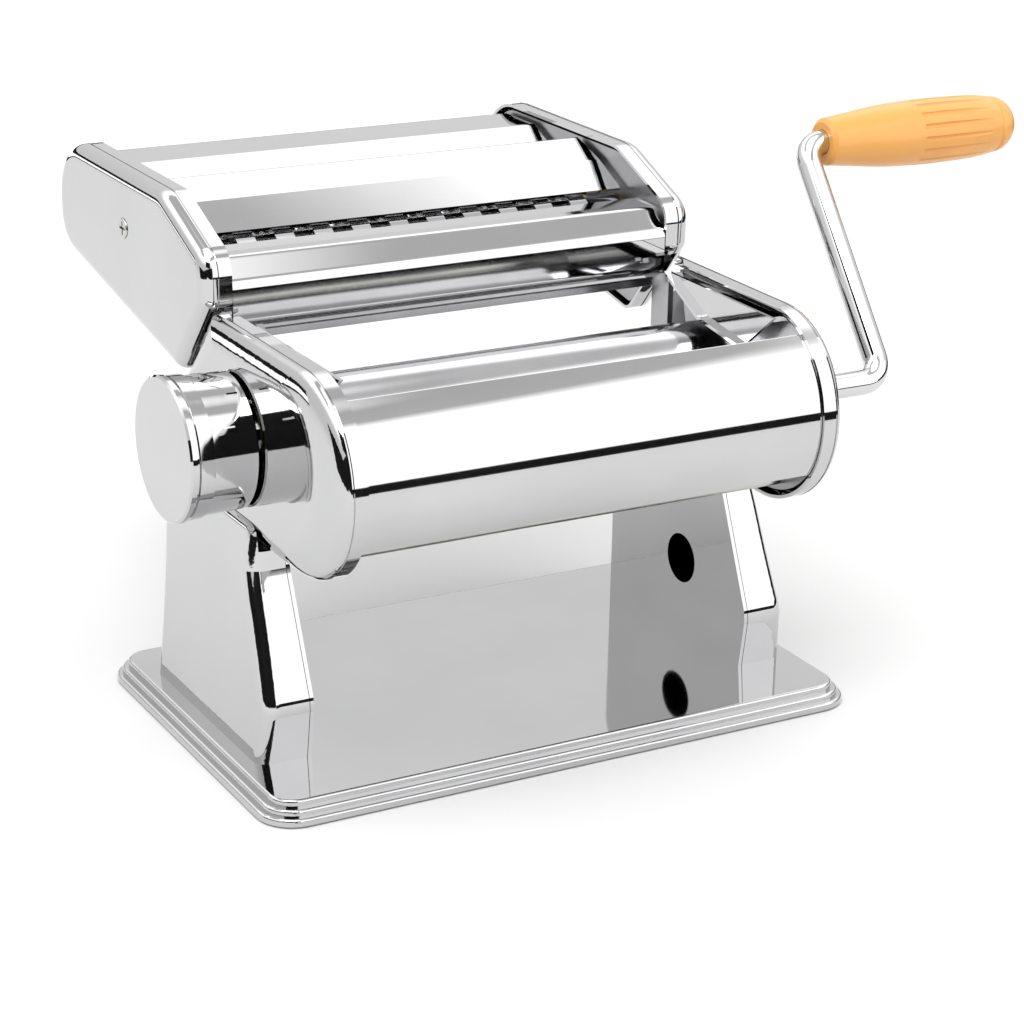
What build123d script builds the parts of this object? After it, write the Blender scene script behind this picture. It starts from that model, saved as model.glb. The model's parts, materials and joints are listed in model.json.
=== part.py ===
from build123d import *
import os
from math import acos, atan2, cos, degrees, pi, radians, sin, sqrt, tan

os.makedirs("parts", exist_ok=True)

# ---------------------------------------------------------------- driving dimensions (mm)
# Frame: +X towards the crank, -Y the front, +Z up, origin at the middle of the underside.

SHEET_WIDTH = 150.0             # widest dough sheet: the distance between the rims of the body caps
SHEET_METAL = 1.0               # pressed chromed sheet
FIT = 0.05                      # radial clearance of every running fit
SEAT = 0.02                     # gap where a part is pressed on a shaft of its own body

# base
PLATE_LENGTH = 194.0
PLATE_WIDTH = 122.0
PLATE_TOP = 7.2
PLATE_CORNER = 8.0
MAT_THICKNESS = 1.6

# layers of one end of the machine, as distances from the middle plane
RIM_X = SHEET_WIDTH / 2         # inner edge of a cap's rim
GROOVE_X = 79.5                 # bead line around a cap
CAP_X = 84.5                    # outer face of a cap
CAP_EDGE_RADIUS = 4.5
DOME_X = 79.9                   # a body cap is domed from here outwards
DOME_REACH = 9.0                # how far the dome runs in from the edge
NOSE_DOME_REACH = 11.0          # how much further it runs in at the nose
DOME_STEPS = 4
COVER_END_X = RIM_X - 0.2
ROLLER_END_X = RIM_X - 0.4
FRAME_X = (76.4, 78.4)          # side frame
GEAR_X = (79.2, 82.0)
LEG_PANEL_X = (75.0, 76.2)

# body
NOSE_Y, NOSE_Z, NOSE_RADIUS = -43.5, 98.6, 30.4
BODY_REAR_Y = 37.5
HOOK_Z = 107.0                  # where the cutter's tip hooks behind the body
FRONT_COVER_ANGLES = (122.0, 214.0)      # upper and lower edge of the front cover about the nose centre
FRAME_FOOT_Y = (-16.0, 31.0)      # part of a side frame that goes down into the leg
TIE_RODS = ((-60.0, 108.0), (-51.0, 77.0), (24.0, 78.5))     # (y, z)
TIE_ROD_RADIUS = 3.0
THREAD_RADIUS = 2.0

# smooth rollers
ROLLER_RADIUS = 15.8
WIDEST_GAP = 2.3
NARROWEST_GAP = 0.2
ROLLER_Z = 97.5
FRONT_Y = -38.4
REAR_Y = FRONT_Y + 2 * ROLLER_RADIUS + WIDEST_GAP
GAP_TRAVEL = WIDEST_GAP - NARROWEST_GAP
JOURNAL_RADIUS = 7.0
REAR_JOURNAL_RADIUS = 6.0
ROLLER_TEETH = 16
BLOCK_SIZE = 16.0

# crank
ROD_RADIUS = 4.0
SOCKET_RADIUS = ROD_RADIUS + 0.1
SOCKET_DEPTH = 16.0
CRANK_X = 122.0                 # plane of the crank arm
GRIP_Y, GRIP_Z = 11.5, 162.6    # axis of the grip
GRIP_START_X = 129.5
GRIP_LENGTH = 75.5
GRIP_FLUTES = 16

# thickness dial
KNOB_RADIUS = 21.7
KNOB_FACE_X = -107.0
KNOB_REAR_X = -85.4
DIAL_SHAFT_RADIUS = 6.0
DIAL_SETTINGS = 7

# legs
LEG_REAR_Y = 44.0
LEG_TOP_Z = 67.9                # underside of the body
SKIN_TOP_Z = 76.4               # the outer skin goes on up beside the cap
LEG_WALL = 1.6
LEG_EDGE_RADIUS = 4.5
LEG_FRONT = ((-35.5, PLATE_TOP), (-38.0, 25.0), (-21.5, 62.0), (-20.5, LEG_TOP_Z))     # (y, z)
LEG_SKIN = ((92.0, PLATE_TOP), (90.3, 26.0), (89.0, 46.0), (88.2, 60.0), (86.9, 69.0),
            (85.5, SKIN_TOP_Z))          # (x, z)
LEG_BULGE_RADIUS = 12.0
LEG_REAR_TOP_RADIUS = 12.0
LEG_FRONT_TOP_RADIUS = 6.0
SKIN_CLEARANCE = 0.1            # between the skin's top and the cap
BASE_BOLTS = ((-82.0, -20.0), (-82.0, 26.0), (82.0, -20.0), (82.0, 26.0))      # (x, y)
FRAME_BOLTS = ((-8.0, 62.5), (20.0, 62.5))                   # (y, z)
CLAMP_HOLE_Y, CLAMP_HOLE_Z, CLAMP_HOLE_RADIUS = 0.5, 31.7, 8.2

# cutter unit
CUTTER_TOP = 158.8
CUTTER_REAR_Y = 138.8
DISC_RADIUS = 9.6
CORE_RADIUS = 7.6
CUTTER_JOURNAL_RADIUS = 6.5
CUTTER_TEETH = 12
WIDE_DISC = 6.5                 # width of a wide noodle
FINE_DISC = 2.0                 # width of a fine noodle
WIDE_FRONT = (32.8, 131.5)      # roller axes, (y, z)
WIDE_REAR = (50.15, 134.5)
FINE_FRONT = (73.5, 129.0)
FINE_REAR = (90.85, 132.0)
CUTTER_SPACING = sqrt((WIDE_REAR[0] - WIDE_FRONT[0]) ** 2 + (WIDE_REAR[1] - WIDE_FRONT[1]) ** 2)
CUTTER_RODS = ((62.0, 119.0), (118.0, 138.0))
CAP_SCREW = (79.9, 140.9)
TONGUE_Y = (20.0, 30.0)
TONGUE_X = (78.4, 80.4)
TONGUE_BOTTOM = 86.0


def save(name, builder):
    builder.part.label = name
    export_step(builder.part, f"parts/{name}.step")


def save_pair(name, right):
    """Write the right-hand piece and its mirror image on the left."""
    save(f"{name}_right", right)
    with BuildPart() as left:
        mirror(right.part, about=Plane.YZ)
    save(f"{name}_left", left)


def nearest(vertices, y, z):
    return vertices.sort_by_distance((y, z, 0))[0]


# ---------------------------------------------------------------- base

def make_base_plate():
    """Pressed tray with three stepped beads around its edge."""
    steps = ((3.6, 0.6, 2.8), (1.9, 2.8, 4.9), (0.0, 4.9, PLATE_TOP))    # overhang, from z, to z
    with BuildPart() as plate:
        for overhang, low, high in steps:
            with BuildSketch(Plane.XY.offset(low)):
                RectangleRounded(PLATE_LENGTH + 2 * overhang, PLATE_WIDTH + 2 * overhang,
                                 PLATE_CORNER + overhang)
            extrude(amount=high - low)
            rim = plate.faces().sort_by(Axis.Z)[-1]
            fillet(rim.outer_wire().edges(), 0.9)
        with BuildSketch(Plane.XY.offset(0.6)):
            RectangleRounded(PLATE_LENGTH - 2.4, PLATE_WIDTH - 2.4, PLATE_CORNER - 1.2)
        extrude(amount=PLATE_TOP - 0.6 - 1.2, mode=Mode.SUBTRACT)
        with Locations((0, 0, PLATE_TOP)):
            with Locations(*BASE_BOLTS):
                Hole(2.2, depth=PLATE_TOP)
    save("base_plate", plate)


def make_base_mat():
    """Anti-slip sheet glued under the tray; the machine stands on it."""
    with BuildPart() as mat:
        with BuildSketch(Plane.XY):
            RectangleRounded(PLATE_LENGTH - 5, PLATE_WIDTH - 5, PLATE_CORNER - 3)
        extrude(amount=MAT_THICKNESS)
        fillet(mat.faces().sort_by(Axis.Z)[0].edges(), 0.5)
        with BuildSketch(Plane.XY.offset(MAT_THICKNESS)):        # upstand that fills the tray's edge
            RectangleRounded(PLATE_LENGTH - 5, PLATE_WIDTH - 5, PLATE_CORNER - 3)
            RectangleRounded(PLATE_LENGTH - 11, PLATE_WIDTH - 11, PLATE_CORNER - 5, mode=Mode.SUBTRACT)
        extrude(amount=PLATE_TOP - 1.2 - MAT_THICKNESS)
    save("base_mat", mat)


# ---------------------------------------------------------------- legs

def leg_side_face(inset, top):
    """Side outline of a leg: bulging a little at the front, then leaning back."""
    with BuildSketch() as face:
        with BuildLine():
            Polyline(*[(y + inset, z) for y, z in LEG_FRONT[:-1]], (LEG_FRONT[-1][0] + inset, top),
                     (LEG_REAR_Y - inset, top), (LEG_REAR_Y - inset, PLATE_TOP), close=True)
        make_face()
        fillet(nearest(face.vertices(), LEG_FRONT[1][0] + inset, LEG_FRONT[1][1]),
               LEG_BULGE_RADIUS)
        fillet(nearest(face.vertices(), LEG_REAR_Y - inset, top), LEG_REAR_TOP_RADIUS - inset)
        fillet(nearest(face.vertices(), LEG_FRONT[-1][0] + inset, top),
               LEG_FRONT_TOP_RADIUS - inset)
    return face.sketch


def leg_front_face(inset, inner, top):
    """Front outline of a leg shell: flared towards the base. X across, Z up."""
    skin = [(x - inset, z) for x, z in LEG_SKIN[:-1]] + [(LEG_SKIN[-1][0] - inset, top)]
    with BuildSketch() as face:
        with BuildLine():
            Spline(*skin)
            Polyline(skin[-1], (inner, top), (inner, PLATE_TOP), skin[0])
        make_face()
    return face.sketch


def leg_form(inset, inner, edge_radius=0.0):
    """Solid form of a leg between its inner plane and its flared outer skin."""
    with BuildPart() as form:
        with BuildSketch(Plane.YZ.offset(inner)):
            add(leg_side_face(inset, SKIN_TOP_Z - inset))
        extrude(amount=30.0)
        with BuildSketch(Plane.XZ.offset(-60.0)):
            add(leg_front_face(inset, inner, SKIN_TOP_Z - inset))
        extrude(amount=120.0, mode=Mode.INTERSECT)
        if edge_radius:
            upright = form.edges().filter_by(lambda e: e.center().X > 84.0 and e.length > 3.0)
            upright = upright.filter_by(lambda e: abs(e.tangent_at(0.5).Z) > 0.5)
            fillet(upright, edge_radius)
    return form.part


def make_legs():
    with BuildPart() as shell:
        add(leg_form(0.0, FRAME_X[0], LEG_EDGE_RADIUS))
        add(leg_form(LEG_WALL, FRAME_X[0] - 5.0), mode=Mode.SUBTRACT)
        with BuildSketch(Plane.XY.offset(LEG_TOP_Z)):        # only the skin goes up beside the cap
            with Locations((CAP_X + SKIN_CLEARANCE - 15.0, 0.0)):
                Rectangle(30.0, 120.0)
        extrude(amount=20.0, mode=Mode.SUBTRACT)
    save_pair("leg_shell", shell)

    panel_x = LEG_PANEL_X[0]
    thickness = LEG_PANEL_X[1] - LEG_PANEL_X[0]
    with BuildPart() as panel:
        with BuildSketch(Plane.YZ.offset(panel_x)):
            add(leg_side_face(0.0, LEG_TOP_Z))
            with Locations((CLAMP_HOLE_Y, CLAMP_HOLE_Z)):
                Circle(CLAMP_HOLE_RADIUS, mode=Mode.SUBTRACT)
            with Locations(*FRAME_BOLTS):
                Circle(2.1, mode=Mode.SUBTRACT)
        extrude(amount=thickness)
        with BuildSketch(Plane.XY.offset(PLATE_TOP)):
            with Locations((LEG_PANEL_X[1] + 5.5, 3.0)):
                Rectangle(11.4, 62.0)
            with Locations(*BASE_BOLTS[2:]):
                Circle(2.2, mode=Mode.SUBTRACT)
        extrude(amount=1.5)
    save_pair("leg_panel", panel)


def make_leg_bolts():
    """Four bolts from under the base and four through the side frames, with their nuts."""
    with BuildPart() as base_bolts:
        for plane, radius, height in ((1.9, 4.0, 4.0), (5.9, 2.0, 6.4)):
            with BuildSketch(Plane.XY.offset(plane)):
                with Locations(*BASE_BOLTS):
                    Circle(radius)
            extrude(amount=height)
        with BuildSketch(Plane.XY.offset(PLATE_TOP + 1.5)):
            with Locations(*BASE_BOLTS):
                RegularPolygon(3.5, 6, major_radius=False)
        extrude(amount=2.8)
    save("base_bolts", base_bolts)

    with BuildPart() as right:
        for plane, radius, height in ((73.4, 3.6, 1.6), (75.0, 2.0, 5.0)):
            with BuildSketch(Plane.YZ.offset(plane)):
                with Locations(*FRAME_BOLTS):
                    Circle(radius)
            extrude(amount=height)
        fillet(right.edges().sort_by(Axis.X)[:2], 1.0)
        with BuildSketch(Plane.YZ.offset(FRAME_X[1])):
            with Locations(*FRAME_BOLTS):
                RegularPolygon(3.2, 6, major_radius=False)
        extrude(amount=1.5)
    with BuildPart() as frame_bolts:
        add(right.part)
        mirror(right.part, about=Plane.YZ)
    save("frame_bolts", frame_bolts)


# ---------------------------------------------------------------- body

def body_outline(inset, open_rear=False, nose_shift=0.0):
    """Side outline of the body: a round nose, a flat top and a rear edge sloped for the cutter."""
    radius = NOSE_RADIUS - inset
    nose_y = NOSE_Y + nose_shift
    top = NOSE_Z + radius
    bottom = NOSE_Z - radius
    rear = 60.0 if open_rear else -inset
    with BuildSketch() as face:
        with BuildLine():
            Polyline((nose_y, top), (17.6 + rear, top), (BODY_REAR_Y - 1.8 + rear, HOOK_Z),
                     (BODY_REAR_Y + rear, HOOK_Z - 4), (BODY_REAR_Y + rear, bottom), (nose_y, bottom))
            ThreePointArc((nose_y, bottom), (nose_y - radius, NOSE_Z), (nose_y, top))
        make_face()
    return face.sketch


def body_form(inset, open_rear):
    """Straight rim and a dome rounded like a quarter of an ellipse."""
    depth = CAP_X - inset - DOME_X
    with BuildPart() as form:
        with BuildSketch(Plane.YZ.offset(RIM_X)):
            add(body_outline(inset, open_rear))
        extrude(amount=DOME_X - RIM_X)
        for step in range(DOME_STEPS + 1):
            turn = pi / 2 * step / DOME_STEPS
            drawn_in = 1 - cos(turn)
            with BuildSketch(Plane.YZ.offset(DOME_X + depth * sin(turn))):
                add(body_outline(inset + DOME_REACH * drawn_in, open_rear, NOSE_DOME_REACH * drawn_in))
        loft()
    return form.part


def body_cap():
    """Domed end cap with a bead line, hollow, open towards the machine and at the rear."""
    with BuildPart() as cap:
        add(body_form(0.0, False))
        with BuildSketch(Plane.YZ.offset(GROOVE_X - 0.3)):
            add(body_outline(-2.0))
            add(body_outline(0.35), mode=Mode.SUBTRACT)
        extrude(amount=0.6, mode=Mode.SUBTRACT)
        add(body_form(SHEET_METAL, True), mode=Mode.SUBTRACT)
        with BuildSketch(Plane.XY.offset(60.0)):             # the cutter passes here
            with Locations((RIM_X + 1.5, 36.5)):
                Rectangle(7.0, 48.0)
        extrude(amount=80.0, mode=Mode.SUBTRACT)
        with BuildSketch(Plane.XY.offset(60.0)):             # the side frame passes here
            with Locations((RIM_X + 1.0, (FRAME_FOOT_Y[0] + FRAME_FOOT_Y[1]) / 2)):
                Rectangle(5.6, FRAME_FOOT_Y[1] - FRAME_FOOT_Y[0] + 1.0)
        extrude(amount=10.0, mode=Mode.SUBTRACT)
    return cap


def make_body_caps():
    plain = body_cap()
    with BuildPart() as right:
        add(plain.part)
        with BuildSketch(Plane.YZ.offset(RIM_X)):
            with Locations((FRONT_Y, ROLLER_Z)):
                Circle(7.6)
        extrude(amount=20.0, mode=Mode.SUBTRACT)
    save("body_cap_right", right)
    with BuildPart() as left:
        mirror(plain.part, about=Plane.YZ)
        with BuildSketch(Plane.YZ.offset(-RIM_X)):
            with Locations((REAR_Y, ROLLER_Z)):
                Circle(DIAL_SHAFT_RADIUS + 1.0)
        extrude(amount=-20.0, mode=Mode.SUBTRACT)
    save("body_cap_left", left)

    with BuildPart() as port:                                # ring around the crank hole
        with BuildSketch(Plane.YZ.offset(CAP_X)):
            with Locations((FRONT_Y, ROLLER_Z)):
                Circle(10.2)
                Circle(7.2, mode=Mode.SUBTRACT)
        extrude(amount=1.2)
        fillet(port.faces().sort_by(Axis.X)[-1].edges(), 0.5)
        with BuildSketch(Plane.YZ.offset(CAP_X)):
            with Locations((FRONT_Y, ROLLER_Z)):
                Circle(7.58)
                Circle(7.2, mode=Mode.SUBTRACT)
        extrude(amount=-1.0)
    save("crank_port_ring", port)

    with BuildPart() as scale:                               # bearing of the dial, with its flange
        with BuildSketch(Plane.YZ.offset(-CAP_X)):
            with Locations((REAR_Y, ROLLER_Z)):
                Circle(16.0)
        extrude(amount=-0.6)
        with BuildSketch(Plane.YZ.offset(-CAP_X)):
            with Locations((REAR_Y, ROLLER_Z)):
                Circle(DIAL_SHAFT_RADIUS + 0.96)
        extrude(amount=1.0)
        with BuildSketch(Plane.YZ.offset(-CAP_X - 1)):
            with Locations((REAR_Y, ROLLER_Z)):
                Circle(DIAL_SHAFT_RADIUS + FIT)
        extrude(amount=5.0, mode=Mode.SUBTRACT)
    save("dial_bearing", scale)


def make_side_frames():
    reach = NOSE_RADIUS - 2.6                                # radius of the frame's round front
    with BuildPart() as plain:
        with BuildSketch(Plane.YZ.offset(FRAME_X[0])):
            with BuildLine():
                Polyline((NOSE_Y, NOSE_Z + reach), (10.5, NOSE_Z + reach), (5.5, 109.0), (13.0, 100.0),
                         (FRAME_FOOT_Y[1], 100.0), (FRAME_FOOT_Y[1], 57.0), (FRAME_FOOT_Y[0], 57.0),
                         (FRAME_FOOT_Y[0], 75.5), (-34.0, 75.5), (NOSE_Y, NOSE_Z - reach))
                ThreePointArc((NOSE_Y, NOSE_Z - reach), (NOSE_Y - reach, NOSE_Z), (NOSE_Y, NOSE_Z + reach))
            make_face()
            with Locations(*TIE_RODS, *FRAME_BOLTS):
                Circle(THREAD_RADIUS + 0.1, mode=Mode.SUBTRACT)
        extrude(amount=FRAME_X[1] - FRAME_X[0])
        with BuildSketch(Plane.YZ.offset(FRAME_X[0] - 1)):
            with Locations((FRONT_Y, ROLLER_Z)):
                Circle(9.0)
            with Locations((REAR_Y - GAP_TRAVEL / 2, ROLLER_Z)):
                Rectangle(BLOCK_SIZE + GAP_TRAVEL + 0.6, BLOCK_SIZE + 2 * FIT)
        extrude(amount=5.0, mode=Mode.SUBTRACT)
    save_pair("side_frame", plain)

    with BuildPart() as rail:                                # channel that the cutter's tongue slides in
        for y in (TONGUE_Y[0] - 1.7, TONGUE_Y[1] + 0.2):
            with BuildSketch(Plane.YZ.offset(FRAME_X[1])):
                with Locations((y + 0.75, (TONGUE_BOTTOM - 2.0 + 99.0) / 2)):
                    Rectangle(1.5, 99.0 - TONGUE_BOTTOM + 2.0)
            extrude(amount=3.4)
        with BuildSketch(Plane.YZ.offset(FRAME_X[1])):
            with Locations(((TONGUE_Y[0] + TONGUE_Y[1]) / 2, TONGUE_BOTTOM - 1.2)):
                Rectangle(13.4, 2.0)
        extrude(amount=3.4)
        with BuildSketch(Plane.YZ.offset(TONGUE_X[1] + 0.4)):
            with Locations(((TONGUE_Y[0] + TONGUE_Y[1]) / 2, (TONGUE_BOTTOM + 99.0) / 2)):
                Rectangle(13.4, 99.0 - TONGUE_BOTTOM)
        extrude(amount=1.0)
    save_pair("cutter_rail", rail)


def make_covers():
    """Curved front cover and the low rear cover, each hemmed at its lower edge."""
    sheet = NOSE_RADIUS - 1.0 - SHEET_METAL / 2

    def on_nose(angle, radius=sheet):
        return (NOSE_Y + radius * cos(radians(angle)), NOSE_Z + radius * sin(radians(angle)))

    with BuildPart() as front:
        with BuildSketch(Plane.YZ):
            with BuildLine():
                ThreePointArc(on_nose(FRONT_COVER_ANGLES[0]), on_nose(170.0), on_nose(FRONT_COVER_ANGLES[1]))
            trace(line_width=SHEET_METAL)
        extrude(amount=COVER_END_X, both=True)
        with BuildSketch(Plane.YZ):
            with BuildLine():
                ThreePointArc(on_nose(206.0, sheet - 0.9), on_nose(210.0, sheet - 0.9),
                              on_nose(FRONT_COVER_ANGLES[1] - 0.6, sheet - 0.9))
            trace(line_width=SHEET_METAL)
        extrude(amount=COVER_END_X, both=True)
        with BuildSketch(Plane.YZ):
            with BuildLine():
                upper = FRONT_COVER_ANGLES[0]
                Polyline(on_nose(upper), on_nose(upper - 4.0, sheet - 3.0))
            trace(line_width=SHEET_METAL)
        extrude(amount=COVER_END_X, both=True)
    save("front_cover", front)

    with BuildPart() as rear:
        with BuildSketch(Plane.YZ):
            with BuildLine():
                FilletPolyline((14.0, 105.0), (14.0, 93.0), (29.5, 84.0), (29.5, 69.0), (26.5, 65.0),
                               radius=3.0)
            trace(line_width=SHEET_METAL)
        extrude(amount=COVER_END_X, both=True)
    save("rear_cover", rear)


def make_dough_guides():
    """Plates at both ends of the feed opening that keep the sheet between the rollers."""
    with BuildPart() as guide:
        with BuildSketch(Plane.YZ.offset(71.2)):
            with BuildLine():
                Polyline((9.0, 126.6), (-10.8, 117.0), (-34.6, 114.0), (-50.0, 126.6), close=True)
            make_face()
        extrude(amount=1.3)
        with BuildSketch(Plane.YZ.offset(72.4)):
            with Locations((-20.0, 125.6)):
                Rectangle(56.0, 1.6)
        extrude(amount=FRAME_X[0] - 72.4)
        with BuildSketch(Plane.YZ.offset(69.4)):
            with BuildLine():
                Polyline((9.0, 126.6), (-10.8, 117.0), (-34.6, 114.0))
            trace(line_width=1.0)
        extrude(amount=2.2)
    save_pair("dough_guide", guide)


def make_scrapers():
    """Spring strips that keep dough off the rollers."""
    def scraper(name, center_y, side):
        with BuildPart() as strip:
            with BuildSketch(Plane.YZ):
                reach = ROLLER_RADIUS + 0.9
                tip = (center_y + side * reach * sin(radians(45)), ROLLER_Z - reach * cos(radians(45)))
                with BuildLine():
                    Polyline(tip, (tip[0] + side * 5.0, tip[1] - 6.0), (tip[0] + side * 7.5, tip[1] - 3.0))
                trace(line_width=0.8)
            extrude(amount=FRAME_X[0] - 0.2, both=True)
        save(name, strip)

    scraper("front_scraper", FRONT_Y, -1)
    scraper("rear_scraper", REAR_Y, 1)


def threaded_rods(spots, radius, name):
    """Rods between the frames with a thinner threaded end through each frame."""
    with BuildPart() as rods:
        with BuildSketch(Plane.YZ):
            with Locations(*spots):
                Circle(radius)
        extrude(amount=FRAME_X[0], both=True)
        with BuildSketch(Plane.YZ):
            with Locations(*spots):
                Circle(THREAD_RADIUS)
        extrude(amount=FRAME_X[1] + 3.0, both=True)
    save(name, rods)


def frame_nuts(spots, name):
    with BuildPart() as right:
        with BuildSketch(Plane.YZ.offset(FRAME_X[1])):
            with Locations(*spots):
                RegularPolygon(3.4, 6, major_radius=False)
                Circle(THREAD_RADIUS + SEAT, mode=Mode.SUBTRACT)
        extrude(amount=2.4)
    with BuildPart() as nuts:
        add(right.part)
        mirror(right.part, about=Plane.YZ)
    save(name, nuts)


# ---------------------------------------------------------------- gears and rollers

def involute_gear(axis_y, axis_z, teeth, pitch_radius, addendum, dedendum, bore, x_range,
                  first_tooth, backlash):
    """Spur gear about an X axis; first_tooth is the direction of one tooth's middle, in degrees."""
    pressure = radians(20.0)
    base_radius = pitch_radius * cos(pressure)
    root = pitch_radius - dedendum
    tip = pitch_radius + addendum
    involute_at_pitch = tan(pressure) - pressure
    half_tooth = pi / (2 * teeth) - backlash / (2 * pitch_radius)

    def flank(radius):
        """Half the tooth's angle at a radius."""
        if radius <= base_radius:
            return half_tooth + involute_at_pitch
        turn = acos(base_radius / radius)
        return half_tooth + involute_at_pitch - (tan(turn) - turn)

    radii = [root] + [max(root, base_radius) + (tip - max(root, base_radius)) * k / 4 for k in range(5)]
    points = []
    for tooth in range(teeth):
        middle = radians(first_tooth) + 2 * pi * tooth / teeth
        for radius in radii:
            angle = middle - flank(radius)
            points.append((axis_y + radius * cos(angle), axis_z + radius * sin(angle)))
        for radius in reversed(radii):
            angle = middle + flank(radius)
            points.append((axis_y + radius * cos(angle), axis_z + radius * sin(angle)))
    with BuildPart() as gear:
        with BuildSketch(Plane.YZ.offset(x_range[0])):
            with BuildLine():
                Polyline(*points, close=True)
            make_face()
            with Locations((axis_y, axis_z)):
                Circle(bore + SEAT, mode=Mode.SUBTRACT)
        extrude(amount=x_range[1] - x_range[0])
    return gear


def make_smooth_rollers():
    def turned(name, axis_y, stations, socket):
        """Roller turned about an X axis; stations are (x, radius) steps from left to right."""
        axis_plane = Plane(origin=(0, axis_y, ROLLER_Z), x_dir=(1, 0, 0), z_dir=(0, -1, 0))
        outline = [(stations[0][0], 0.0)]
        for (x_from, radius), (x_to, _) in zip(stations, stations[1:]):
            outline += [(x_from, radius), (x_to, radius)]
        outline.append((stations[-1][0], 0.0))
        with BuildPart() as roller:
            with BuildSketch(axis_plane):
                with BuildLine():
                    Polyline(*outline, close=True)
                make_face()
            revolve(axis=Axis((0, axis_y, ROLLER_Z), (1, 0, 0)))
            if socket:
                end = stations[-1][0]
                with BuildSketch(Plane.YZ.offset(end)):
                    with Locations((axis_y, ROLLER_Z)):
                        Circle(SOCKET_RADIUS)
                extrude(amount=-SOCKET_DEPTH, mode=Mode.SUBTRACT)
                with BuildSketch(Plane.YZ.offset(end)):       # slot for the crank's cross pin
                    with Locations((axis_y, ROLLER_Z)):
                        Rectangle(2.6, 2 * JOURNAL_RADIUS + 2)
                extrude(amount=-3.0, mode=Mode.SUBTRACT)
        save(name, roller)

    turned("front_roller", FRONT_Y,
           ((-79.2, JOURNAL_RADIUS), (-ROLLER_END_X, ROLLER_RADIUS), (ROLLER_END_X, JOURNAL_RADIUS),
            (83.2, 0.0)), socket=True)
    turned("rear_roller", REAR_Y,
           ((-79.2, REAR_JOURNAL_RADIUS), (-ROLLER_END_X, ROLLER_RADIUS),
            (ROLLER_END_X, REAR_JOURNAL_RADIUS), (83.0, 0.0)), socket=False)

    closest = 2 * ROLLER_RADIUS + NARROWEST_GAP
    for name, axis_y, bore, first in (("front_roller_gear", FRONT_Y, JOURNAL_RADIUS, 0.0),
                                      ("rear_roller_gear", REAR_Y, REAR_JOURNAL_RADIUS,
                                       180.0 + 180.0 / ROLLER_TEETH)):
        gear = involute_gear(axis_y, ROLLER_Z, ROLLER_TEETH, closest / 2, 2.2, 2.7, bore, GEAR_X, first, 0.6)
        save(name, gear)

    with BuildPart() as right:                               # flanged bushes of the front roller
        with BuildSketch(Plane.YZ.offset(75.2)):
            with Locations((FRONT_Y, ROLLER_Z)):
                Circle(10.6)
        extrude(amount=FRAME_X[0] - 75.2)
        with BuildSketch(Plane.YZ.offset(FRAME_X[0])):
            with Locations((FRONT_Y, ROLLER_Z)):
                Circle(9.0 - SEAT)
        extrude(amount=79.0 - FRAME_X[0])
        with BuildSketch(Plane.YZ.offset(75.0)):
            with Locations((FRONT_Y, ROLLER_Z)):
                Circle(JOURNAL_RADIUS + FIT)
        extrude(amount=5.0, mode=Mode.SUBTRACT)
    with BuildPart() as bushes:
        add(right.part)
        mirror(right.part, about=Plane.YZ)
    save("front_roller_bushes", bushes)

    with BuildPart() as right_block:                         # square blocks that carry the rear roller
        with BuildSketch(Plane.YZ.offset(75.2)):
            with Locations((REAR_Y, ROLLER_Z)):
                RectangleRounded(BLOCK_SIZE, BLOCK_SIZE, 1.0)
                Circle(REAR_JOURNAL_RADIUS + FIT, mode=Mode.SUBTRACT)
        extrude(amount=79.2 - 75.2)
    with BuildPart() as blocks:
        add(right_block.part)
        mirror(right_block.part, about=Plane.YZ)
    save("rear_roller_blocks", blocks)


# ---------------------------------------------------------------- thickness dial

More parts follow.
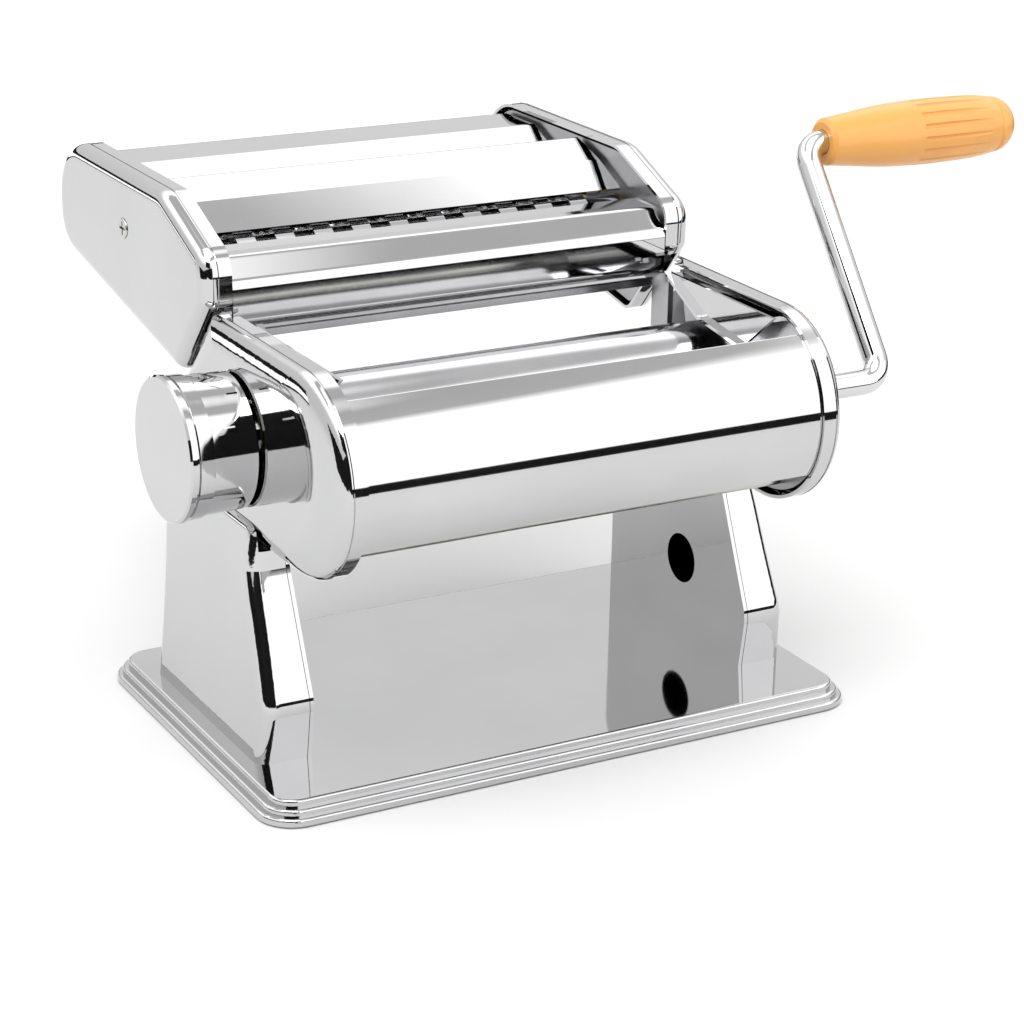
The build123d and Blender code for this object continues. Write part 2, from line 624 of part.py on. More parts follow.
def make_dial():
    axis = Axis((0, REAR_Y, ROLLER_Z), (1, 0, 0))
    axis_plane = Plane(origin=(0, REAR_Y, ROLLER_Z), x_dir=(1, 0, 0), z_dir=(0, -1, 0))

    with BuildPart() as shaft:                               # cam disc inside the cap, then the stem
        with BuildSketch(Plane.YZ.offset(-82.8)):
            with Locations((REAR_Y + 1.2, ROLLER_Z)):
                Circle(12.0)
        extrude(amount=2.9)
        with BuildSketch(Plane.YZ.offset(-82.8)):
            with Locations((REAR_Y, ROLLER_Z)):
                Circle(DIAL_SHAFT_RADIUS)
        extrude(amount=-(104.0 - 82.8))
        chamfer(shaft.edges().sort_by(Axis.X)[0], 0.8)
    save("dial_shaft", shaft)

    face, rear = KNOB_FACE_X, KNOB_REAR_X
    with BuildPart() as knob:                                # pull knob: stepped disc and a long skirt
        with BuildSketch(axis_plane):
            with BuildLine():
                Polyline((face, 0.0), (face, KNOB_RADIUS - 0.6), (face + 0.6, KNOB_RADIUS),
                         (face + 2.0, KNOB_RADIUS), (face + 2.3, KNOB_RADIUS - 1.0),
                         (face + 2.9, KNOB_RADIUS - 1.0), (face + 3.2, KNOB_RADIUS - 0.4),
                         (face + 7.6, KNOB_RADIUS - 0.6), (face + 7.9, KNOB_RADIUS - 1.2),
                         (rear - 0.5, KNOB_RADIUS - 1.4), (rear, KNOB_RADIUS - 1.9),
                         (rear, KNOB_RADIUS - 3.6), (face + 4.0, KNOB_RADIUS - 3.6),
                         (face + 4.0, 9.5), (-89.8, 9.5), (-89.8, DIAL_SHAFT_RADIUS + FIT),
                         (-103.9, DIAL_SHAFT_RADIUS + FIT), (-104.6, DIAL_SHAFT_RADIUS - 0.8),
                         (-104.6, 0.0), close=True)
            make_face()
        revolve(axis=axis)
        with Locations(Plane(origin=(rear - 4.2, REAR_Y, ROLLER_Z), x_dir=(0, 1, 0), z_dir=(1, 0, 0))):
            with PolarLocations(KNOB_RADIUS - 1.3, DIAL_SETTINGS, start_angle=-120.0, angular_range=240.0,
                                endpoint=True):
                Box(1.0, 0.7, 3.4, mode=Mode.SUBTRACT)
    save("dial_knob", knob)


# ---------------------------------------------------------------- crank

def make_crank():
    with BuildPart() as rod:
        with BuildLine() as path:
            FilletPolyline((67.6, FRONT_Y, ROLLER_Z), (CRANK_X, FRONT_Y, ROLLER_Z),
                           (CRANK_X, GRIP_Y, GRIP_Z), (GRIP_START_X + GRIP_LENGTH - 12.0, GRIP_Y, GRIP_Z),
                           radius=7.4)
        with BuildSketch(Plane(origin=(67.6, FRONT_Y, ROLLER_Z), x_dir=(0, 1, 0), z_dir=(1, 0, 0))):
            Circle(ROD_RADIUS)
        sweep(path=path.wires()[0])
        chamfer(rod.edges().sort_by(Axis.X)[0], 0.6)
        with BuildSketch(Plane.XY.offset(ROLLER_Z - 6.4)):      # cross pin that drives the roller
            with Locations((82.0, FRONT_Y)):
                Circle(1.0)
        extrude(amount=12.8)
    save("crank_rod", rod)

    with BuildPart() as washer:                              # keeps the grip on the rod
        with BuildSketch(Plane.YZ.offset(GRIP_START_X + GRIP_LENGTH - 12.0)):
            with Locations((GRIP_Y, GRIP_Z)):
                Circle(5.6)
        extrude(amount=2.0)
    save("grip_retainer", washer)

    stations = ((0.0, 6.4), (1.2, 7.7), (12.0, 8.9), (22.0, 10.0), (33.0, 10.6), (52.0, 10.6),
                (62.0, 10.1), (66.5, 9.5))
    start = GRIP_START_X
    axis_plane = Plane(origin=(start, GRIP_Y, GRIP_Z), x_dir=(1, 0, 0), z_dir=(0, -1, 0))
    with BuildPart() as grip:                                # moulded grip, bored for the rod
        with BuildSketch(axis_plane):
            with BuildLine():
                Polyline((stations[0][0], 0.0), stations[0], stations[1])
                Spline(*stations[1:])
                Line(stations[-1], (67.2, 9.0))
                Line((67.2, 9.0), (68.0, 9.3))
                Spline((68.0, 9.3), (72.5, 7.4), (GRIP_LENGTH, 0.0), tangents=((1, -0.1), (0, -1)))
                Line((GRIP_LENGTH, 0.0), (stations[0][0], 0.0))
            make_face()
        revolve(axis=Axis((start, GRIP_Y, GRIP_Z), (1, 0, 0)))
        with BuildSketch(Plane.YZ.offset(start + 34.0)):      # shallow flutes along the thick part
            with Locations((GRIP_Y, GRIP_Z)):
                with PolarLocations(10.9, GRIP_FLUTES):
                    Circle(0.85)
        extrude(amount=31.0, mode=Mode.SUBTRACT)
        with BuildSketch(Plane.YZ.offset(start)):
            with Locations((GRIP_Y, GRIP_Z)):
                Circle(ROD_RADIUS + 0.1)
        extrude(amount=GRIP_LENGTH - 12.0, mode=Mode.SUBTRACT)
        with BuildSketch(Plane.YZ.offset(start + GRIP_LENGTH - 12.2)):
            with Locations((GRIP_Y, GRIP_Z)):
                Circle(5.9)
        extrude(amount=2.4, mode=Mode.SUBTRACT)
    save("crank_grip", grip)


# ---------------------------------------------------------------- cutter unit

def cutter_outline(inset):
    """Side outline of the cutter unit: round rear, flat top, bevelled front, sloping underside."""
    corners = (((50.0, CUTTER_TOP), 14.0), ((17.5, 145.5), 9.0), ((17.5, 131.5), 4.0),
               ((39.0, 105.6), 5.0), ((CUTTER_REAR_Y, 123.4), 14.0), ((CUTTER_REAR_Y, CUTTER_TOP), 19.5))
    with BuildSketch() as face:
        with BuildLine():
            Polyline(*[corner for corner, _ in corners], close=True)
        make_face()
        for (y, z), radius in corners:
            fillet(nearest(face.vertices(), y, z), radius)
        if inset:
            offset(amount=-inset)
    return face.sketch


def make_cutter_caps():
    with BuildPart() as cavity:
        with BuildSketch(Plane.YZ.offset(RIM_X)):
            add(cutter_outline(SHEET_METAL))
        extrude(amount=CAP_X - SHEET_METAL - RIM_X)
        fillet(cavity.faces().sort_by(Axis.X)[-1].edges(), CAP_EDGE_RADIUS - SHEET_METAL)
    with BuildPart() as plain:
        with BuildSketch(Plane.YZ.offset(RIM_X)):
            add(cutter_outline(0.0))
        extrude(amount=CAP_X - RIM_X)
        fillet(plain.faces().sort_by(Axis.X)[-1].edges(), CAP_EDGE_RADIUS)
        with BuildSketch(Plane.YZ.offset(GROOVE_X - 0.3)):
            add(cutter_outline(-2.0))
            add(cutter_outline(0.35), mode=Mode.SUBTRACT)
        extrude(amount=0.6, mode=Mode.SUBTRACT)
        add(cavity.part, mode=Mode.SUBTRACT)
        with BuildSketch(Plane.YZ.offset(CAP_X)):
            with Locations(CAP_SCREW):
                Circle(1.7)
        extrude(amount=-5.0, mode=Mode.SUBTRACT)
        with BuildSketch(Plane.YZ.offset(CAP_X - 0.5)):
            with Locations(CAP_SCREW):
                Circle(3.3)
        extrude(amount=1.0, mode=Mode.SUBTRACT)
        with BuildSketch(Plane.XY.offset(100.0)):             # notch for the tongue
            with Locations(((RIM_X + TONGUE_X[1] + 0.5) / 2, 25.0)):
                Rectangle(TONGUE_X[1] + 0.5 - RIM_X, TONGUE_Y[1] - TONGUE_Y[0] + 1.0)
        extrude(amount=30.0, mode=Mode.SUBTRACT)
    with BuildPart() as left:
        mirror(plain.part, about=Plane.YZ)
    save("cutter_cap_left", left)
    with BuildPart() as right:
        add(plain.part)
        with BuildSketch(Plane.YZ.offset(RIM_X)):
            with Locations(WIDE_FRONT, FINE_FRONT):
                Circle(7.6)
        extrude(amount=20.0, mode=Mode.SUBTRACT)
    save("cutter_cap_right", right)

    with BuildPart() as ports:
        with BuildSketch(Plane.YZ.offset(CAP_X)):
            with Locations(WIDE_FRONT, FINE_FRONT):
                Circle(9.4)
        extrude(amount=0.8)
        fillet(ports.edges().group_by(Axis.X)[-1], 0.4)
        with BuildSketch(Plane.YZ.offset(CAP_X)):
            with Locations(WIDE_FRONT, FINE_FRONT):
                Circle(7.58)
        extrude(amount=-1.0)
        with BuildSketch(Plane.YZ.offset(CAP_X - 2)):
            with Locations(WIDE_FRONT, FINE_FRONT):
                Circle(7.2)
        extrude(amount=4.0, mode=Mode.SUBTRACT)
    save("cutter_port_rings", ports)

    with BuildPart() as right_screw:
        with BuildSketch(Plane.YZ.offset(FRAME_X[1] + 2.0)):
            with Locations(CAP_SCREW):
                Circle(1.5)
        extrude(amount=CAP_X - 0.5 - FRAME_X[1] - 2.0)
        with BuildSketch(Plane.YZ.offset(CAP_X - 0.5)):
            with Locations(CAP_SCREW):
                Circle(3.1)
        extrude(amount=1.0)
        fillet(right_screw.edges().sort_by(Axis.X)[-1], 0.5)
        with BuildSketch(Plane.YZ.offset(CAP_X + 0.5)):
            with Locations(CAP_SCREW):
                Rectangle(4.4, 0.8)
                Rectangle(0.8, 4.4)
        extrude(amount=-0.7, mode=Mode.SUBTRACT)
    with BuildPart() as screws:
        add(right_screw.part)
        mirror(right_screw.part, about=Plane.YZ)
    save("cap_screws", screws)


def make_cutter_frames():
    bearings = (WIDE_FRONT, WIDE_REAR, FINE_FRONT, FINE_REAR)
    with BuildPart() as frame:
        with BuildSketch(Plane.YZ.offset(FRAME_X[0])):
            add(cutter_outline(2.4))
            with Locations(*bearings):
                Circle(7.82, mode=Mode.SUBTRACT)
            with Locations(*CUTTER_RODS):
                Circle(2.1, mode=Mode.SUBTRACT)
        extrude(amount=FRAME_X[1] - FRAME_X[0])
        with BuildSketch(Plane.YZ.offset(TONGUE_X[0])):
            with BuildLine():
                Polyline((TONGUE_Y[0], 122.5), (26.0, 121.2), (TONGUE_Y[1], 120.6), (38.0, 119.0),
                         (38.0, 113.0), (36.0, 113.0), (TONGUE_Y[1], 118.5), (TONGUE_Y[1], TONGUE_BOTTOM),
                         (TONGUE_Y[0], TONGUE_BOTTOM), close=True)
            make_face()
        extrude(amount=TONGUE_X[1] - TONGUE_X[0])
        with BuildSketch(Plane.YZ.offset(FRAME_X[1])):
            with Locations(CAP_SCREW):
                Circle(2.2)
        extrude(amount=CAP_X - SHEET_METAL - FRAME_X[1])
        with BuildSketch(Plane.YZ.offset(FRAME_X[1] + 1.8)):
            with Locations(CAP_SCREW):
                Circle(1.5 + SEAT)
        extrude(amount=10.0, mode=Mode.SUBTRACT)
    save_pair("cutter_frame", frame)

    with BuildPart() as right:
        with BuildSketch(Plane.YZ.offset(75.4)):
            with Locations(*bearings):
                Circle(7.8)
        extrude(amount=78.8 - 75.4)
        with BuildSketch(Plane.YZ.offset(75.0)):
            with Locations(*bearings):
                Circle(CUTTER_JOURNAL_RADIUS + FIT)
        extrude(amount=5.0, mode=Mode.SUBTRACT)
    with BuildPart() as bushes:
        add(right.part)
        mirror(right.part, about=Plane.YZ)
    save("cutter_bushes", bushes)


def make_cutter_covers():
    def folded(name, *points, radius=2.0):
        with BuildPart() as sheet:
            with BuildSketch(Plane.YZ):
                with BuildLine():
                    FilletPolyline(*points, radius=radius)
                trace(line_width=SHEET_METAL)
            extrude(amount=COVER_END_X, both=True)
        save(name, sheet)

    folded("cutter_front_cover", (38.0, 143.2), (26.0, 143.2), (18.2, 137.0), (18.2, 124.5), (23.5, 121.0),
           radius=3.4)
    folded("cutter_partition", (46.0, 145.0), (60.0, 151.6), (75.0, 156.2), (79.0, 146.0), radius=1.2)
    folded("cutter_rear_cover", (84.6, 142.0), (86.5, 147.5), (104.0, 154.6), (125.0, 154.6),
           (135.0, 141.0), (134.0, 128.0), (124.0, 124.0), radius=4.0)


def make_combs():
    """Strippers whose fingers lie in the grooves of the cutter rollers."""
    def comb(name, axes, disc):
        pitch = 2 * disc
        with BuildPart() as strips:
            for (y, z), side, shift in ((axes[0], -1, disc), (axes[1], 1, 0.0)):
                count = int((2 * ROLLER_END_X - pitch) / pitch / 2) * 2 - 1
                if shift:
                    count += 1
                with BuildSketch(Plane.YZ):
                    with Locations((y + side * 7.4, z - 11.4)):
                        Rectangle(1.0, 4.6)
                extrude(amount=FRAME_X[0] - 0.3, both=True)
                with Locations((0, y + side * 7.4, z - 7.2)):
                    with GridLocations(pitch, 1, count, 1):
                        Box(disc - 0.5, 1.0, 4.6)
        save(name, strips)

    comb("wide_combs", (WIDE_FRONT, WIDE_REAR), WIDE_DISC)
    comb("fine_combs", (FINE_FRONT, FINE_REAR), FINE_DISC)


def make_cutter_rollers():
    def disc_roller(name, axis, disc, starts_full, driver):
        """Roller with alternating discs and grooves, each one noodle wide."""
        y, z = axis
        pitch = 2 * disc
        clear = 0.12
        axis_plane = Plane(origin=(0, y, z), x_dir=(1, 0, 0), z_dir=(0, -1, 0))
        right_end = 83.2 if driver else 82.8
        outline = [(-78.9, 0.0), (-78.9, CUTTER_JOURNAL_RADIUS), (-ROLLER_END_X, CUTTER_JOURNAL_RADIUS),
                   (-ROLLER_END_X, CORE_RADIUS)]
        centre = 0.0 if starts_full else disc
        reach = ROLLER_END_X - disc / 2 - 0.4
        first = -int((reach + centre) / pitch) * pitch + centre
        x = first if first - pitch < -reach else first - pitch
        while x <= reach:
            outline += [(x - disc / 2 + clear, CORE_RADIUS), (x - disc / 2 + clear, DISC_RADIUS),
                        (x + disc / 2 - clear, DISC_RADIUS), (x + disc / 2 - clear, CORE_RADIUS)]
            x += pitch
        outline += [(ROLLER_END_X, CORE_RADIUS), (ROLLER_END_X, CUTTER_JOURNAL_RADIUS),
                    (right_end, CUTTER_JOURNAL_RADIUS), (right_end, 0.0)]
        with BuildPart() as roller:
            with BuildSketch(axis_plane):
                with BuildLine():
                    Polyline(*outline, close=True)
                make_face()
            revolve(axis=Axis((0, y, z), (1, 0, 0)))
            if driver:
                with BuildSketch(Plane.YZ.offset(right_end)):
                    with Locations(axis):
                        Circle(SOCKET_RADIUS)
                extrude(amount=-SOCKET_DEPTH, mode=Mode.SUBTRACT)
                with BuildSketch(Plane.YZ.offset(right_end)):
                    with Locations(axis):
                        Rectangle(2.6, 2 * CUTTER_JOURNAL_RADIUS + 2)
                extrude(amount=-3.0, mode=Mode.SUBTRACT)
        save(name, roller)

    mesh = degrees(atan2(WIDE_REAR[1] - WIDE_FRONT[1], WIDE_REAR[0] - WIDE_FRONT[0]))
    for kind, front, rear, disc in (("wide", WIDE_FRONT, WIDE_REAR, WIDE_DISC),
                                    ("fine", FINE_FRONT, FINE_REAR, FINE_DISC)):
        disc_roller(f"{kind}_front_roller", front, disc, True, True)
        disc_roller(f"{kind}_rear_roller", rear, disc, False, False)
        for name, axis, first in ((f"{kind}_front_gear", front, mesh),
                                  (f"{kind}_rear_gear", rear, mesh + 180.0 + 180.0 / CUTTER_TEETH)):
            gear = involute_gear(axis[0], axis[1], CUTTER_TEETH, CUTTER_SPACING / 2, 1.1, 1.5,
                                 CUTTER_JOURNAL_RADIUS, GEAR_X, first, 0.25)
            save(name, gear)


make_base_plate()
make_base_mat()
make_legs()
make_leg_bolts()
make_body_caps()
make_side_frames()
make_covers()
make_dough_guides()
make_scrapers()
threaded_rods(TIE_RODS, TIE_ROD_RADIUS, "tie_rods")
frame_nuts(TIE_RODS, "tie_rod_nuts")
make_smooth_rollers()
make_dial()
make_crank()
make_cutter_caps()
make_cutter_frames()
make_cutter_covers()
make_combs()
make_cutter_rollers()
threaded_rods(CUTTER_RODS, TIE_ROD_RADIUS, "cutter_rods")
frame_nuts(CUTTER_RODS, "cutter_rod_nuts")
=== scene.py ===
import json
from math import cos, radians, sin

import bmesh
import bpy
from mathutils import Matrix, Vector


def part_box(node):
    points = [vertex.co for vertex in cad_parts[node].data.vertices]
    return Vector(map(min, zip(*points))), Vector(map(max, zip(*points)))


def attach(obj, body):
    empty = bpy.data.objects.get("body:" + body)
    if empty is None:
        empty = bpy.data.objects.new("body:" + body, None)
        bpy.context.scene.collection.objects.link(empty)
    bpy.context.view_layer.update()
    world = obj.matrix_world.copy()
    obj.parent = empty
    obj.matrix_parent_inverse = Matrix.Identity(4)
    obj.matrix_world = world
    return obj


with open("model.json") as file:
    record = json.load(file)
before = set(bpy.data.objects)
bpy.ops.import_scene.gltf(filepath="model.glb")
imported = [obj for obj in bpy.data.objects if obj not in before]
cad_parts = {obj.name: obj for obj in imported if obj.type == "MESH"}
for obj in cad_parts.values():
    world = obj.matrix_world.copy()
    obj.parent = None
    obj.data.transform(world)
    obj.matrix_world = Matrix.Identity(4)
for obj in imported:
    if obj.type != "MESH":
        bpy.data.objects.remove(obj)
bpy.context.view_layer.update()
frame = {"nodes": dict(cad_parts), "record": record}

nodes = frame["nodes"]


# ---------------------------------------------------------------- material helpers

class Nodes:
    """Short names for building one node tree."""

    def __init__(self, name):
        self.material = bpy.data.materials.new(name)
        self.material.use_nodes = True
        self.tree = self.material.node_tree
        self.shader = self.tree.nodes["Principled BSDF"]
        self.coords = self.tree.nodes.new("ShaderNodeTexCoord").outputs["Object"]

    def link(self, output, target):
        self.tree.links.new(output, target)

    def constants(self, **values):
        for socket, value in values.items():
            self.shader.inputs[socket.replace("_", " ")].default_value = value

    def stretched(self, scale):
        node = self.tree.nodes.new("ShaderNodeMapping")
        node.inputs["Scale"].default_value = scale
        self.link(self.coords, node.inputs["Vector"])
        return node.outputs["Vector"]

    def noise(self, scale, detail=3.0, roughness=0.5, stretch=(1, 1, 1), distortion=0.0):
        node = self.tree.nodes.new("ShaderNodeTexNoise")
        node.inputs["Scale"].default_value = scale
        node.inputs["Detail"].default_value = detail
        node.inputs["Roughness"].default_value = roughness
        node.inputs["Distortion"].default_value = distortion
        self.link(self.stretched(stretch), node.inputs["Vector"])
        return node.outputs["Fac"]

    def ramp(self, fac, *stops):
        """Colour or value ramp; a stop is (position, colour or value)."""
        node = self.tree.nodes.new("ShaderNodeValToRGB")
        elements = node.color_ramp.elements
        while len(elements) < len(stops):
            elements.new(0.5)
        for element, (position, value) in zip(elements, stops):
            element.position = position
            element.color = (*value, 1.0) if isinstance(value, tuple) else (value, value, value, 1.0)
        self.link(fac, node.inputs["Fac"])
        return node.outputs["Color"]

    def to_range(self, fac, low, high):
        node = self.tree.nodes.new("ShaderNodeMapRange")
        node.inputs["To Min"].default_value = low
        node.inputs["To Max"].default_value = high
        self.link(fac, node.inputs["Value"])
        return node.outputs["Result"]

    def bump(self, height, distance, strength=1.0, after=None):
        node = self.tree.nodes.new("ShaderNodeBump")
        node.inputs["Strength"].default_value = strength
        node.inputs["Distance"].default_value = distance
        self.link(height, node.inputs["Height"])
        if after is not None:
            self.link(after, node.inputs["Normal"])
        return node.outputs["Normal"]

    def finish(self, color, roughness, normal):
        self.link(color, self.shader.inputs["Base Color"])
        self.link(roughness, self.shader.inputs["Roughness"])
        self.link(normal, self.shader.inputs["Normal"])
        return self.material


def chrome(name, tint, rough=(0.03, 0.07), wave=0.00006):
    """Mirror chrome on pressed sheet: faint smears, hairline polish marks and a slow wave in the sheet."""
    n = Nodes(name)
    n.constants(Metallic=1.0)
    smear = n.noise(26.0, 4.0, 0.55)
    hairline = n.noise(900.0, 2.0, 0.6, stretch=(0.05, 1.0, 1.0))
    color = n.ramp(smear, (0.3, tuple(c * 0.95 for c in tint)), (0.7, tint))
    n_wave = n.bump(n.noise(22.0, 1.0, 0.4), wave)
    return n.finish(color, n.to_range(smear, *rough), n.bump(hairline, 0.0000015, 0.6, n_wave))


def machined(name, tint, rough, stretch, scale=600.0, depth=0.000006):
    """Turned, ground or stamped metal with fine lines along one direction."""
    n = Nodes(name)
    n.constants(Metallic=1.0)
    lines = n.noise(scale, 3.0, 0.6, stretch=stretch)
    blotch = n.noise(45.0, 3.0)
    color = n.ramp(blotch, (0.3, tuple(c * 0.85 for c in tint)), (0.7, tint))
    return n.finish(color, n.to_range(lines, *rough), n.bump(lines, depth, 0.8))


def rubber(name):
    n = Nodes(name)
    grain = n.noise(1400.0, 3.0, 0.6)
    color = n.ramp(n.noise(60.0), (0.3, (0.012, 0.012, 0.013)), (0.7, (0.022, 0.022, 0.023)))
    return n.finish(color, n.to_range(grain, 0.55, 0.8), n.bump(grain, 0.00005, 0.6))


def grip_plastic(name):
    """Moulded orange plastic with a soft sheen and a little depth of colour."""
    n = Nodes(name)
    n.constants(Subsurface_Weight=0.12, Subsurface_Radius=(0.004, 0.0018, 0.0006), Subsurface_Scale=1.0,
                Coat_Weight=0.12, Coat_Roughness=0.18, IOR=1.48)
    cloud = n.noise(55.0, 4.0, 0.5)
    grain = n.noise(2600.0, 2.0, 0.5)
    color = n.ramp(cloud, (0.25, (0.68, 0.31, 0.066)), (0.75, (0.74, 0.35, 0.08)))
    return n.finish(color, n.to_range(grain, 0.26, 0.38), n.bump(grain, 0.000012, 0.5))


MATERIALS = {
    "chrome": chrome("chrome_plated_sheet", (0.57, 0.57, 0.575)),
    "roller_steel": machined("ground_roller_steel", (0.62, 0.62, 0.63), (0.08, 0.16), (0.02, 1.0, 1.0)),
    "plain_steel": machined("stamped_steel", (0.42, 0.42, 0.43), (0.25, 0.4), (1.0, 0.05, 1.0)),
    "gear_steel": machined("sintered_gear_steel", (0.33, 0.33, 0.34), (0.3, 0.5), (1.0, 1.0, 1.0), 900.0),
    "spring_steel": machined("spring_strip", (0.5, 0.5, 0.51), (0.15, 0.3), (0.03, 1.0, 1.0)),
    "zinc": machined("bright_zinc", (0.6, 0.6, 0.57), (0.18, 0.32), (1.0, 1.0, 1.0), 500.0),
    "brass": machined("bearing_metal", (0.66, 0.48, 0.22), (0.22, 0.38), (1.0, 0.2, 0.2)),
    "rubber": rubber("black_rubber"),
    "grip_plastic": grip_plastic("orange_grip_plastic"),
}
slot_of = {part["node"]: part["material_slot"] for part in frame["record"]["subparts"]}
for name, node in nodes.items():
    node.data.materials.clear()
    node.data.materials.append(MATERIALS[slot_of[name]])

crank_chrome = chrome("chrome_plated_rod", (0.66, 0.66, 0.665), (0.02, 0.05), 0.00001)
nodes["crank_rod"].data.materials[0] = crank_chrome


# ---------------------------------------------------------------- dial numbers

DIAL_SETTINGS = 7
SETTING_ANGLE = -40.0           # degrees from one setting to the next
FIRST_SETTING_ANGLE = 150.0
DIGIT_SIZE = 0.0052
DIGIT_DEPTH = 0.00012
DIGITS_FROM_FACE = 0.0135       # from the knob's outer face to the middle of the row
SKIRT_STEP = 0.00128            # how far the skirt lies below the knob's widest radius
NUMBER_FINISH = machined("stamped_numbers", (0.95, 0.95, 0.95), (0.3, 0.45), (1.0, 1.0, 1.0))


def mesh_piece(name, mesh, material, body):
    piece = bpy.data.objects.new(name, mesh)
    bpy.context.collection.objects.link(piece)
    mesh.materials.clear()
    mesh.materials.append(material)
    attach(piece, body)
    return piece


def digit_mesh(text, size, depth):
    curve = bpy.data.curves.new("digit", "FONT")
    curve.body = text
    curve.size = size
    curve.extrude = depth
    curve.align_x = "CENTER"
    curve.align_y = "CENTER"
    curve.resolution_u = 4
    holder = bpy.data.objects.new("digit", curve)
    bpy.context.collection.objects.link(holder)
    bpy.context.view_layer.update()
    mesh = bpy.data.meshes.new_from_object(holder.evaluated_get(bpy.context.evaluated_depsgraph_get()))
    bpy.data.objects.remove(holder)
    return mesh


def add_dial_numbers():
    """The settings' numbers, stamped round the knob's skirt."""
    low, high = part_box("dial_knob")
    centre_y, centre_z = (low[1] + high[1]) / 2, (low[2] + high[2]) / 2
    skirt_radius = (high[2] - low[2]) / 2 - SKIRT_STEP
    whole = bmesh.new()
    for setting in range(DIAL_SETTINGS):
        around = radians(SETTING_ANGLE * setting + FIRST_SETTING_ANGLE)
        outward = Vector((0, cos(around), sin(around)))
        reading_up = Vector((-1, 0, 0))
        across = reading_up.cross(outward)
        place = Matrix((across, reading_up, outward)).transposed().to_4x4()
        row_centre = Vector((low[0] + DIGITS_FROM_FACE, centre_y, centre_z))
        place.translation = row_centre + outward * skirt_radius
        mesh = digit_mesh(str(setting + 1), DIGIT_SIZE, DIGIT_DEPTH)
        mesh.transform(place)
        whole.from_mesh(mesh)
        bpy.data.meshes.remove(mesh)
    mesh = bpy.data.meshes.new("dial_numbers")
    whole.to_mesh(mesh)
    whole.free()
    mesh_piece("dial_numbers", mesh, NUMBER_FINISH, "dial_knob")


add_dial_numbers()


# ---------------------------------------------------------------- floor, light and camera

FLOOR_REACH = 6.0
# (height as the sine of elevation, brightness)
SKY = ((0.0, 0.90), (0.22, 0.92), (0.42, 0.95), (0.50, 1.25), (0.62, 2.0), (0.80, 2.0), (0.84, 0.75),
       (0.90, 0.70), (0.93, 1.9))
KEY_LIGHT_CENTRE = (-0.6, -0.5, 1.5)
KEY_LIGHT_SIZE = (0.9, 0.7)
KEY_LIGHT_WATTS = 12.0
LIGHT_TARGET = (0, 0, 0.1)
# Name, corner, one side, the other side, brightness. A brightness of 0 is a dark cloth.
CARDS = (
    ("front_screen", (-0.12, -0.56, 0.07), (2.4, 0, 0), (0, 0, 0.75), 1.9),
    ("front_gap", (-0.12, -0.50, 0.004), (2.4, 0, 0), (0, 0, 0.075), 0),
    ("front_cloth", (-1.6, -0.56, 0.03), (1.46, 0, 0), (0, 0, 0.40), 0),
    ("left_cloth", (-0.70, -0.55, 0.0), (0, 0.75, 0), (0, 0, 0.24), 0),
    ("right_cloth", (0.80, -0.55, 0.0), (0, 1.1, 0), (0, 0, 0.16), 0),
    ("rear_cloth_low", (-1.3, 1.2, 0.0), (2.3, 0, 0), (0, 0, 0.045), 0),
    ("rear_screen", (-1.3, 1.2, 0.045), (2.3, 0, 0), (0, 0, 0.12), 2.0),
    ("rear_cloth_high", (-1.3, 1.2, 0.165), (2.3, 0, 0), (0, 0, 0.15), 0),
    ("nose_cloth", (-0.95, -0.60, 0.62), (0.50, -0.42, 0), (0.12, 0.14, 0.45), 0),
)
CAMERA_PLACE = (-0.3823, -0.6996, 0.3529)
CAMERA_AZIMUTH, CAMERA_ELEVATION, CAMERA_ROLL = 29.34, 20.17, 1.18      # degrees
CAMERA_LENS = 96.04
SENSOR_WIDTH = 36.0


def add_floor():
    mesh = bpy.data.meshes.new("floor")
    corners = [(x * FLOOR_REACH, y * FLOOR_REACH, 0) for x, y in ((-1, -1), (1, -1), (1, 1), (-1, 1))]
    mesh.from_pydata(corners, [], [(0, 1, 2, 3)])
    floor = bpy.data.objects.new("floor", mesh)
    bpy.context.collection.objects.link(floor)
    n = Nodes("pale_floor")
    n.constants(Specular_IOR_Level=0.0)
    speck = n.noise(8.0)
    mesh.materials.append(n.finish(n.ramp(speck, (0.3, 0.66), (0.7, 0.67)), n.to_range(speck, 0.5, 0.6),
                                   n.bump(speck, 0.00001)))


def add_world():
    """Soft studio sky: grey at the horizon, bright higher up, with one darker ring near the top."""
    world = bpy.data.worlds.new("studio")
    world.use_nodes = True
    bpy.context.scene.world = world
    tree = world.node_tree
    coords = tree.nodes.new("ShaderNodeTexCoord").outputs["Generated"]
    split = tree.nodes.new("ShaderNodeSeparateXYZ")
    tree.links.new(coords, split.inputs[0])
    ramp = tree.nodes.new("ShaderNodeValToRGB")
    elements = ramp.color_ramp.elements
    while len(elements) < len(SKY):
        elements.new(0.5)
    for element, (position, value) in zip(elements, SKY):
        element.position = position
        element.color = (value, value, value, 1.0)
    tree.links.new(split.outputs["Z"], ramp.inputs["Fac"])
    background = tree.nodes["Background"]
    background.inputs["Strength"].default_value = 1.0
    tree.links.new(ramp.outputs["Color"], background.inputs["Color"])


def only_reflected(card):
    card.visible_camera = False
    card.visible_diffuse = False
    card.visible_shadow = False
    card.visible_transmission = False


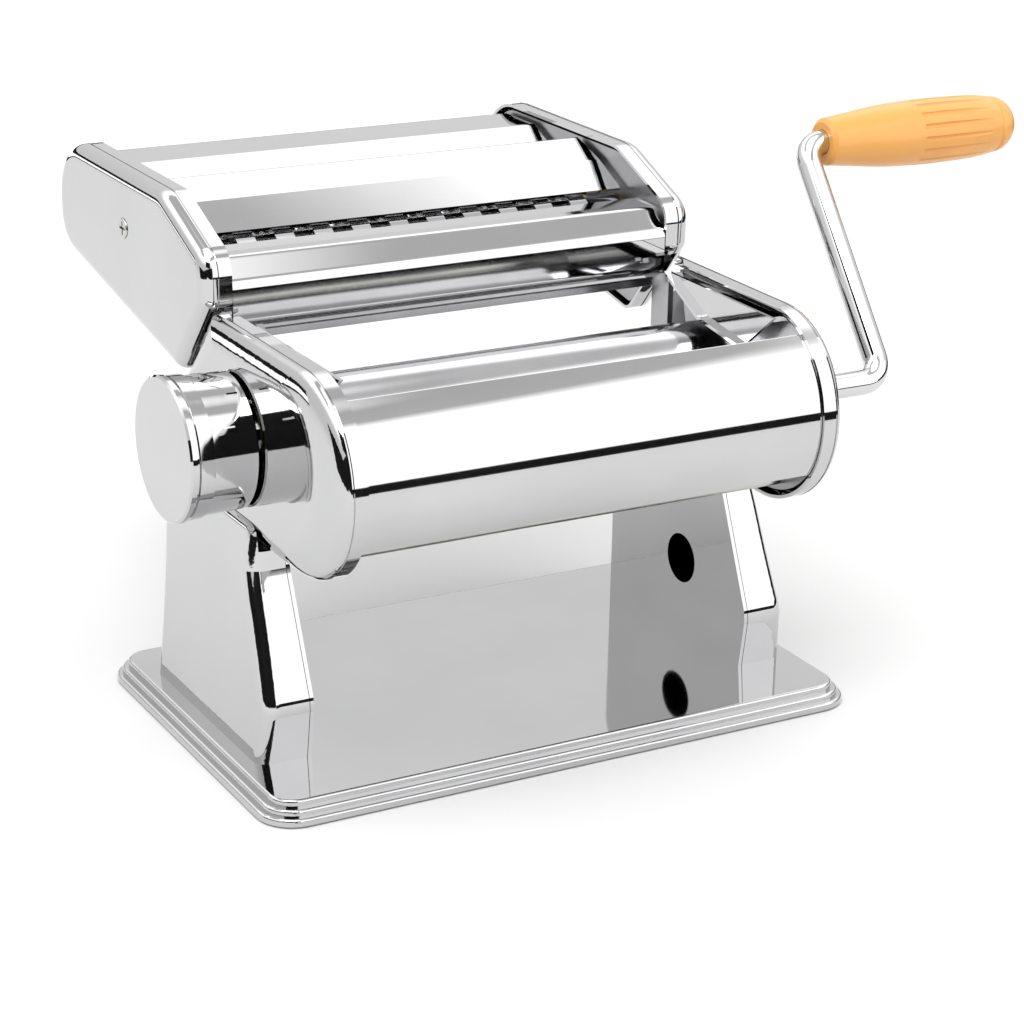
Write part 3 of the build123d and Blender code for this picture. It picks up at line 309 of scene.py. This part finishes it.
def add_card(name, corner, across, up, brightness):
    """Rectangle seen only in reflections: a dark cloth (brightness 0) or a lit screen."""
    corner, across, up = Vector(corner), Vector(across), Vector(up)
    mesh = bpy.data.meshes.new(name)
    mesh.from_pydata([corner, corner + across, corner + across + up, corner + up], [], [(0, 1, 2, 3)])
    card = bpy.data.objects.new(name, mesh)
    bpy.context.collection.objects.link(card)
    n = Nodes(name + "_cloth")
    n.constants(Specular_IOR_Level=0.1, Emission_Strength=brightness)
    weave = n.noise(300.0)
    if brightness:
        n.link(n.ramp(weave, (0.3, 0.98), (0.7, 1.0)), n.shader.inputs["Emission Color"])
    mesh.materials.append(n.finish(n.ramp(weave, (0.3, 0.006), (0.7, 0.010)), n.to_range(weave, 0.8, 0.9),
                                   n.bump(weave, 0.0001)))
    only_reflected(card)


def add_light(name, centre, size, energy):
    light = bpy.data.lights.new(name, "AREA")
    light.shape = "RECTANGLE"
    light.size, light.size_y = size
    light.energy = energy
    lamp = bpy.data.objects.new(name, light)
    bpy.context.collection.objects.link(lamp)
    lamp.location = centre
    lamp.rotation_euler = (Vector(LIGHT_TARGET) - Vector(centre)).to_track_quat("-Z", "Y").to_euler()
    lamp.visible_camera = False


def add_camera():
    azimuth, elevation, roll = (radians(turn) for turn in (CAMERA_AZIMUTH, CAMERA_ELEVATION, CAMERA_ROLL))
    forward = Vector((sin(azimuth) * cos(elevation), cos(azimuth) * cos(elevation), -sin(elevation)))
    level_right = Vector((cos(azimuth), -sin(azimuth), 0.0))
    level_up = level_right.cross(forward)
    right = level_right * cos(roll) + level_up * sin(roll)
    up = level_up * cos(roll) - level_right * sin(roll)
    camera = bpy.data.cameras.new("camera")
    camera.lens = CAMERA_LENS
    camera.sensor_width = SENSOR_WIDTH
    camera.clip_start = 0.01
    holder = bpy.data.objects.new("camera", camera)
    holder.matrix_world = Matrix((right, up, -forward)).transposed().to_4x4()
    holder.location = CAMERA_PLACE
    bpy.context.collection.objects.link(holder)
    bpy.context.scene.camera = holder


add_floor()
add_world()
add_light("key_box", KEY_LIGHT_CENTRE, KEY_LIGHT_SIZE, KEY_LIGHT_WATTS)
for card in CARDS:
    add_card(*card)
add_camera()
bpy.context.scene.view_settings.view_transform = "Standard"
